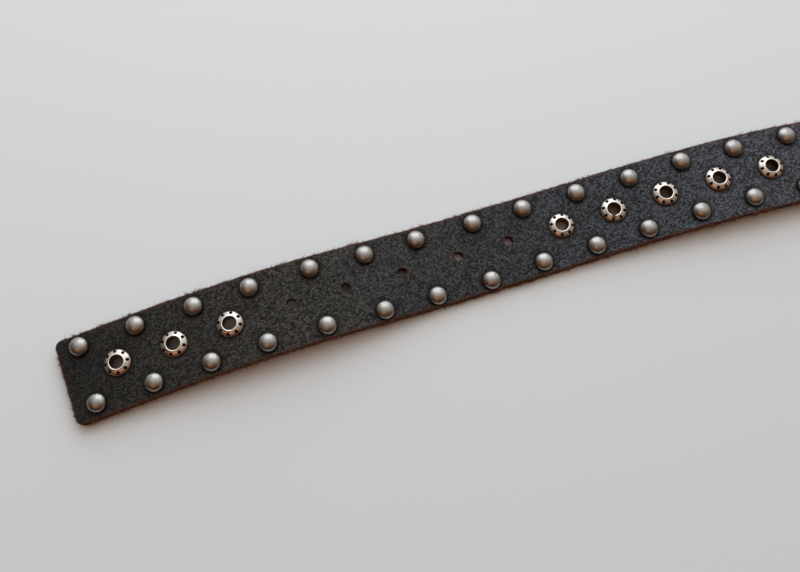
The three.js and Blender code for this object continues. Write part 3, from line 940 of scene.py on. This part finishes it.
clean(buckle)
smooth(buckle, 35)
keep_places(buckle, "own")
reach = math.hypot(FRONT, FRAME_THICK / 2)
lean = math.asin(bar.z / reach) - math.atan2(FRAME_THICK / 2, FRONT)
buckle.data.transform(Matrix.Translation(bar) @ Matrix.Rotation(lean, 4, "Y"))
print("buckle of", len(buckle.data.polygons), "faces, leaning", round(math.degrees(lean), 1), "degrees")

# %% [markdown]
# Raw leather edges are fuzzy: short brown fibres stand out all along them, with a few longer
# tufts. Each fibre is a thin bent spike of three sides. Thousands of them are made as one joined
# mesh, because that is quicker than thousands of objects.

# %% Fibres along the cut edges
FIBRE_SEED = 11
FIBRES_PER_MM = 13
TUFTS_PER_MM = 0.3
MOST_REACH = 2.2 * MM
LEAST_REACH = 0.55 * MM
LEAST_CLEAR = 0.05 * MM
ROOT_SINK = 0.3 * MM
SPIKE_RINGS = ((0, 1.0), (0.5, 0.75))
SPIKE_TURNS = (0, 2.1, 4.2)
luck = random.Random(FIBRE_SEED)


def fibre(points, faces, root, way, droop, length, radius):
    """Adds one spike: a triangle at the root, one half way, and a point at the tip."""
    side = way.orthogonal().normalized()
    other = way.cross(side)
    base = len(points)
    for share, thick in SPIKE_RINGS:
        middle = root + way * (length * share) + droop * (length * share * share)
        for turn in SPIKE_TURNS:
            points.append(middle + (side * math.cos(turn) + other * math.sin(turn)) * (radius * thick))
    points.append(root + way * length + droop * length)
    for k in range(3):
        n = (k + 1) % 3
        faces.append((base + k, base + n, base + 3 + n, base + 3 + k))
        faces.append((base + 3 + k, base + 3 + n, base + 6))
    faces.append((base + 2, base + 1, base))


def edge_root(s, side, height):
    """A point on a cut edge of the strap and the way it faces. Side 0 is the tip's end."""
    if side:
        point, along, across, normal = strap_at(s)
        return point + across * (side * STRAP_WIDTH / 2) + normal * height, across * side, along, normal
    point, along, across, normal = strap_at(0)
    return point + across * s + normal * height, -along, across, normal


def spots_along(low, high, side):
    """Where fibres grow on one edge: even short ones, and tufts of longer ones."""
    length = (high - low) / MM
    spots = [(luck.uniform(low, high), side, 0.3) for _ in range(int(length * FIBRES_PER_MM))]
    for _ in range(int(length * TUFTS_PER_MM)):
        s = luck.uniform(low, high)
        wide = luck.uniform(0.15, 0.6) * MM
        long = luck.uniform(0.5, 1.3)
        spots += [(s + luck.gauss(0, wide), side, long) for _ in range(luck.randint(6, 16))]
    return spots


def grow(name, spots):
    points, faces = [], []
    for s, side, long in spots:
        height = THICKNESS * luck.uniform(0.06, 0.98)
        root, out, along, normal = edge_root(s, side, height)
        root -= out * ROOT_SINK
        way = (out + along * luck.gauss(0, 0.6) + normal * luck.gauss(0.05, 0.35)).normalized()
        droop = (along * luck.gauss(0, 0.5) + normal * luck.gauss(0, 0.4)) * 0.8
        length = min(LEAST_REACH + MM * long * (0.5 + luck.expovariate(1.3)), MOST_REACH)
        if root.z + (way.z + droop.z) * length < LEAST_CLEAR:
            droop.z = abs(droop.z)
            way.z = abs(way.z)
        fibre(points, faces, root, way, droop, length, MM * luck.uniform(0.07, 0.14))
    mesh = bpy.data.meshes.new(name)
    mesh.from_pydata(points, [], faces)
    made = bpy.data.objects.new(name, mesh)
    bpy.context.scene.collection.objects.link(made)
    smooth(made, 60)
    print(name, "has", len(spots), "fibres")
    return made


END_WIDTH = STRAP_WIDTH / 2 - TIP_RADIUS
upper_fibres = grow("fibres_upper_edge", spots_along(TIP_RADIUS, BAR_AT - NECK, 1))
lower_spots = spots_along(TIP_RADIUS, BAR_AT - NECK, -1) + spots_along(-END_WIDTH, END_WIDTH, 0)
lower_fibres = grow("fibres_lower_edge", lower_spots)


# %% [markdown]
# Now the finishes, all worked out from noise, because a picture of leather would bring its own
# light and seams. Three effects are shared, each a node group that gives out plain numbers:
# the pebbles of the dyed face, the loose fibres of the raw hide and the wear of the plate.

# %% Shared effects
def new_group(name, inputs, outputs):
    """A node group with named number inputs, which has a vector in and what is asked out."""
    made = bpy.data.node_groups.new(name, "ShaderNodeTree")
    made.interface.new_socket("Vector", in_out="INPUT", socket_type="NodeSocketVector")
    for socket, value in inputs.items():
        item = made.interface.new_socket(socket, in_out="INPUT", socket_type="NodeSocketFloat")
        item.default_value = value
    for socket in outputs:
        made.interface.new_socket(socket, in_out="OUTPUT", socket_type="NodeSocketFloat")
    return made, made.nodes.new("NodeGroupInput"), made.nodes.new("NodeGroupOutput")


def grain_group():
    """Pebbles of leather: how high they stand, and how light each of them is rubbed."""
    made, given, out = new_group("pebble_grain", {"Cells": 1000.0, "Warp": 0.4}, ["Height", "Rub"])
    vector, cells, warp = given.outputs[0], given.outputs[1], given.outputs[2]
    drift = add(made, "ShaderNodeTexNoise", {"Vector": vector, "Scale": 900.0, "Detail": 2.0})
    pushed = scaled(made, scaled(made, drift.outputs["Color"], warp), MM)
    moved = add(made, "ShaderNodeVectorMath", {0: vector, 1: pushed}, operation="ADD")
    inputs = {"Vector": moved.outputs[0], "Scale": cells}
    crack = add(made, "ShaderNodeTexVoronoi", inputs, feature="DISTANCE_TO_EDGE").outputs["Distance"]
    pebble = spread(made, crack, 0.0, 0.28)
    fine = noise(made, vector, 2600.0, 3.0, 0.6)
    height = worked(made, "ADD", weighted(made, pebble, 0.6), weighted(made, fine, 0.6))
    made.links.new(height, out.inputs["Height"])
    cell = add(made, "ShaderNodeTexVoronoi", inputs).outputs["Color"]
    cell = add(made, "ShaderNodeSeparateColor", {0: cell}).outputs[0]
    patch = noise(made, vector, 560.0, 4.0, 0.7)
    light = worked(made, "ADD", weighted(made, cell, 1.1), patch)
    light = worked(made, "ADD", light, weighted(made, fine, 0.3))
    light = worked(made, "SUBTRACT", light, 0.8, clamp=True)
    rub = weighted(made, light, spread(made, crack, 0.0, 0.2, 0.25, 1.0))
    made.links.new(rub, out.inputs["Rub"])
    return made


def fluff_group():
    """Raw leather: how high its loose fibres stand, and its darker and lighter patches."""
    made, given, out = new_group("raw_fibres", {"Scale": 1400.0}, ["Height", "Mottle"])
    vector, scale = given.outputs[0], given.outputs[1]
    made.links.new(noise(made, vector, scale, 5.0, 0.75), out.inputs["Height"])
    made.links.new(noise(made, vector, 260.0, 4.0, 0.65), out.inputs["Mottle"])
    return made


def tarnish_group():
    """Wear on plated metal: blotches of brown tarnish and fine scratches."""
    sizes = {"Blotches": 450.0, "Scratches": 5000.0}
    made, given, out = new_group("plate_wear", sizes, ["Tarnish", "Scratch"])
    vector, blotches, scratches = given.outputs[0], given.outputs[1], given.outputs[2]
    tarnish = spread(made, noise(made, vector, blotches, 5.0, 0.7), 0.38, 0.72)
    made.links.new(tarnish, out.inputs["Tarnish"])
    made.links.new(noise(made, vector, scratches, 4.0, 0.8), out.inputs["Scratch"])
    return made


pebble_grain = grain_group()
raw_fibres = fluff_group()
plate_wear = tarnish_group()


def attribute(tree, name):
    return add(tree, "ShaderNodeAttribute", attribute_name=name).outputs["Vector"]


def grouped(tree, group, inputs):
    return add(tree, "ShaderNodeGroup", inputs, node_tree=group).outputs


def bump(tree, shader, height, distance, strength=1.0):
    made = add(tree, "ShaderNodeBump", {"Height": height, "Distance": distance, "Strength": strength})
    tree.links.new(made.outputs["Normal"], shader.inputs["Normal"])


def from_middle(tree, axes):
    """How far a point of the flat strap is from its middle line."""
    return add(tree, "ShaderNodeMath", {0: axes["Y"]}, operation="ABSOLUTE").outputs[0]


for group in (pebble_grain, raw_fibres, plate_wear):
    print(group.name, "of", len(group.nodes), "nodes")

# %% [markdown]
# The face of the leather is charcoal with a fine pebbled grain, a little olive near the tip, and rubbed
# lighter on the tops of the pebbles. Further from the tip it is painted lighter and a little bluer, as
# the window's sheen on it. It is painted nearly black, as shade, where it is pressed down round the set
# pieces, and the dye is worn off along its ragged edges.
# The grain follows the strap through the places that its points had when it was flat.

# %% Leather face
FACE_TONE = 1.55
OLIVE_TOP = (0.067, 0.068, 0.061, 1)
BLUE_SHEEN_TOP = (0.054, 0.066, 0.086, 1)
BLUE_SHEEN_SPAN = (0.1, 0.3)
CRACKS = (0.0065, 0.0065, 0.0065, 1)
PAINTED_CONTACT_SHADE = (0.008, 0.006, 0.005, 1)
WORN_HIDE = (0.07, 0.029, 0.017, 1)
WORN_SPAN = (0.35 * MM, 1.1 * MM)
RAGGED = 3 * MM


def leather_face():
    made, tree, shader = new_material("leather_face")
    flat = attribute(tree, "flat")
    grain = grouped(tree, pebble_grain, {"Vector": flat, "Cells": 1450.0, "Warp": 0.5})
    axes = add(tree, "ShaderNodeSeparateXYZ", {0: flat}).outputs
    patches = noise(tree, flat, 38.0, 3.0, 0.6)
    # Painted sheen: further from the tip the face is made lighter and bluer, as the window's sheen on it.
    along = worked(tree, "ADD", axes["X"], weighted(tree, patches, 0.06))
    top_with_sheen = mixed(tree, spread(tree, along, *BLUE_SHEEN_SPAN), OLIVE_TOP, BLUE_SHEEN_TOP)
    sheen_past_tip = spread(tree, along, 0.01, 0.14, 0.3, 1.05)
    painted_sheen = worked(tree, "ADD", sheen_past_tip, spread(tree, along, 0.2, 0.38, 0, 0.95))
    colour = mixed(tree, grain["Rub"], CRACKS, top_with_sheen)
    colour = scaled(tree, scaled(tree, colour, painted_sheen), FACE_TONE)
    # Painted shade: the leather is made nearly black in the dents round the studs and eyelets, where
    # their contact shadow falls.
    ring = add(tree, "ShaderNodeAttribute", attribute_name="pressed").outputs["Fac"]
    colour = mixed(tree, weighted(tree, ring, 0.7), colour, PAINTED_CONTACT_SHADE)
    beside = worked(tree, "SUBTRACT", STRAP_WIDTH / 2, from_middle(tree, axes))
    beside = worked(tree, "MINIMUM", beside, axes["X"])
    ragged = worked(tree, "SUBTRACT", noise(tree, flat, 420.0, 5.0, 0.75), 0.5)
    beside = worked(tree, "ADD", beside, weighted(tree, ragged, RAGGED))
    colour = mixed(tree, spread(tree, beside, *WORN_SPAN, 0.92, 0.0), colour, WORN_HIDE)
    tree.links.new(colour, shader.inputs["Base Color"])
    tree.links.new(spread(tree, grain["Rub"], 0, 1, 0.75, 0.5), shader.inputs["Roughness"])
    shader.inputs["Specular IOR Level"].default_value = 0.25
    bump(tree, shader, grain["Height"], 0.2 * MM)
    return made


# %% [markdown]
# Where leather is cut it shows its inside, a red-brown felt that is darker close to the dyed
# face. The back is the same felt, paler and pressed flatter. One function makes both, and a
# tone of its own colours the walls of the holes.

# %% Raw edge and back of the leather
DYED_THROUGH = (0.03, 0.014, 0.009, 1)
RIM_REACH = (1.5 * MM, 3 * MM)


def raw_leather(name, dark, light, bore, scale, deep):
    """The brown inside of the hide, which shows on the cut edges, in the holes and on the back."""
    made, tree, shader = new_material(name)
    flat = attribute(tree, "flat")
    fluff = grouped(tree, raw_fibres, {"Vector": flat, "Scale": scale})
    axes = add(tree, "ShaderNodeSeparateXYZ", {0: flat}).outputs
    colour = mixed(tree, spread(tree, fluff["Mottle"], 0.3, 0.7), dark, light)
    near_face = spread(tree, axes["Z"], 0.6 * THICKNESS, THICKNESS)
    colour = mixed(tree, near_face, colour, DYED_THROUGH)
    limits = [STRAP_WIDTH / 2 - reach for reach in RIM_REACH]
    inner = spread(tree, from_middle(tree, axes), *limits)
    inner = weighted(tree, inner, spread(tree, axes["X"], *RIM_REACH))
    below_rim = spread(tree, axes["Z"], 0.75 * THICKNESS, 0.95 * THICKNESS, 1, 0)
    inner = weighted(tree, inner, below_rim)
    tree.links.new(mixed(tree, inner, colour, bore), shader.inputs["Base Color"])
    shader.inputs["Roughness"].default_value = 0.92
    shader.inputs["Specular IOR Level"].default_value = 0.2
    bump(tree, shader, fluff["Height"], deep)
    return made


# %% [markdown]
# Studs, eyelets and buckle are plated with nickel. New plate would be a plain mirror, but this is worn:
# patches of tarnish lie on it, and fine scratches blur what it reflects. The foot of each piece is
# painted brown, partly as dirt and partly as a painted dark reflection of the leather round it. The
# inside of the bores is darker brown. Only the crest of a ring stays bright, because it is rubbed most.

# %% Plated metal
BRIGHT_CREST = (0.78, 0.76, 0.72, 1)
CREST_BLEND = 0.15 * MM
BORE_DARK_BROWN = (0.13, 0.06, 0.03, 1)
BORE_SPAN = (0.7 * MM, 1.4 * MM)


def plated(name, colour, tarnish_and_reflection_colour, rough, tarnish_share, foot_dirt_and_reflection_height, bore=0.0, crest=1.0):
    """Worn nickel plate. It turns bright above the crest, and a crest at one metre is none."""
    made, tree, shader = new_material(name)
    own = attribute(tree, "own")
    place = add(tree, "ShaderNodeTexCoord").outputs["Object"]
    wear = grouped(tree, plate_wear, {"Vector": place, "Blotches": 420.0, "Scratches": 4200.0})
    axes = add(tree, "ShaderNodeSeparateXYZ", {0: own}).outputs
    # Painted reflection: the foot is made brown, partly as dirt and partly as the dark reflection of the
    # leather round it.
    foot = spread(tree, axes["Z"], 0.0, foot_dirt_and_reflection_height, 1.0, 0.0)
    dirt_and_reflection = worked(tree, "MAXIMUM", weighted(tree, wear["Tarnish"], tarnish_share), foot)
    plate = mixed(tree, dirt_and_reflection, colour, tarnish_and_reflection_colour)
    on_crest = spread(tree, axes["Z"], crest, crest + CREST_BLEND)
    plate = mixed(tree, on_crest, plate, BRIGHT_CREST)
    # Inside the bores the plate is made darker brown.
    if bore:
        level = add(tree, "ShaderNodeCombineXYZ", {0: axes["X"], 1: axes["Y"]}).outputs[0]
        away = add(tree, "ShaderNodeVectorMath", {0: level}, operation="LENGTH").outputs["Value"]
        within = worked(tree, "LESS_THAN", away, bore)
        within = weighted(tree, within, spread(tree, axes["Z"], *BORE_SPAN, 1.0, 0.0))
        plate = mixed(tree, within, plate, BORE_DARK_BROWN)
    tree.links.new(plate, shader.inputs["Base Color"])
    shader.inputs["Metallic"].default_value = 1.0
    blur = spread(tree, wear["Scratch"], 0.3, 0.8, rough, rough + 0.12)
    tree.links.new(blur, shader.inputs["Roughness"])
    bump(tree, shader, wear["Scratch"], 0.02 * MM, 0.5)
    return made


stud_plate = plated("stud_plate", (0.35, 0.345, 0.335, 1), (0.15, 0.12, 0.09, 1), 0.23, 0.35, 1.9 * MM)
RING_TONES = (0.52, 0.5, 0.475, 1), (0.3, 0.15, 0.07, 1)
ring_plate = plated("ring_plate", *RING_TONES, 0.22, 0.4, 0.75 * MM, bore=3.45 * MM, crest=1.45 * MM)
buckle_plate = plated("buckle_plate", (0.56, 0.54, 0.5, 1), (0.25, 0.2, 0.15, 1), 0.28, 0.35, -4 * MM)
print("plates:", stud_plate.name, ring_plate.name, buckle_plate.name)

# %% [markdown]
# The strap wears three finishes on one mesh. Which one a face gets is read from the flat shape
# that it had: what looked up is the grain side, what looked down is the back, and the rest was
# cut. Three joined pieces would need seams.

# %% Finishes of the strap
WALL_DARK = (0.03, 0.009, 0.005, 1)
WALL_LIGHT = (0.13, 0.036, 0.016, 1)
BORE_TONE = (0.1, 0.042, 0.033, 1)
BACK_DARK = (0.07, 0.034, 0.02, 1)
BACK_LIGHT = (0.13, 0.066, 0.04, 1)
BACK_TONE = (0.1, 0.05, 0.03, 1)
LEVEL_ENOUGH = 0.6
face = leather_face()
edge = raw_leather("leather_edge", WALL_DARK, WALL_LIGHT, BORE_TONE, 1500.0, 0.3 * MM)
flesh = raw_leather("leather_back", BACK_DARK, BACK_LIGHT, BACK_TONE, 1100.0, 0.15 * MM)
for finish in (face, edge, flesh):
    strap.data.materials.append(finish)
for polygon in strap.data.polygons:
    corners = [flat_places[i] for i in polygon.vertices]
    centre = np.mean(corners, axis=0)
    normal = np.cross(corners[1] - corners[0], corners[2] - corners[0])
    size = np.linalg.norm(normal)
    upward = normal[2] / size if size else 0
    if upward > LEVEL_ENOUGH and centre[2] > THICKNESS * 0.75:
        polygon.material_index = 0
    elif upward < -LEVEL_ENOUGH and centre[2] < THICKNESS * 0.25:
        polygon.material_index = 2
    else:
        polygon.material_index = 1
counts = np.bincount([polygon.material_index for polygon in strap.data.polygons])
print("faces of grain, cut edge and back:", counts.tolist())

# %% Finishes of the other pieces
FIBRE_DARK = (0.045, 0.018, 0.011, 1)
FIBRE_LIGHT = (0.26, 0.1, 0.045, 1)
fibre_finish, tree, shader = new_material("loose_fibres")
place = add(tree, "ShaderNodeTexCoord").outputs["Object"]
colour = mixed(tree, spread(tree, noise(tree, place, 700.0), 0.35, 0.65), FIBRE_DARK, FIBRE_LIGHT)
tree.links.new(colour, shader.inputs["Base Color"])
shader.inputs["Roughness"].default_value = 0.9
for piece in (upper_fibres, lower_fibres):
    piece.data.materials.append(fibre_finish)
for _, piece in made_studs:
    piece.data.materials.append(stud_plate)
for _, piece in made_eyelets:
    piece.data.materials.append(ring_plate)
buckle.data.materials.append(buckle_plate)
print("materials:", sorted(made.name for made in bpy.data.materials))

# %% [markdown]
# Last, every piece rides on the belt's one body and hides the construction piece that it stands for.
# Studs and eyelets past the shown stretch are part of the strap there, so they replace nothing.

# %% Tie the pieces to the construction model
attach(strap, "root")
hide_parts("strap")
for piece in (upper_fibres, lower_fibres):
    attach(piece, "root")
for slot, made_pieces in (("stud_nickel", made_studs), ("eyelet_nickel", made_eyelets)):
    for node, piece in made_pieces:
        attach(piece, "root")
        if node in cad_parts:
            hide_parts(node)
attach(buckle, "root")
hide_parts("buckle")
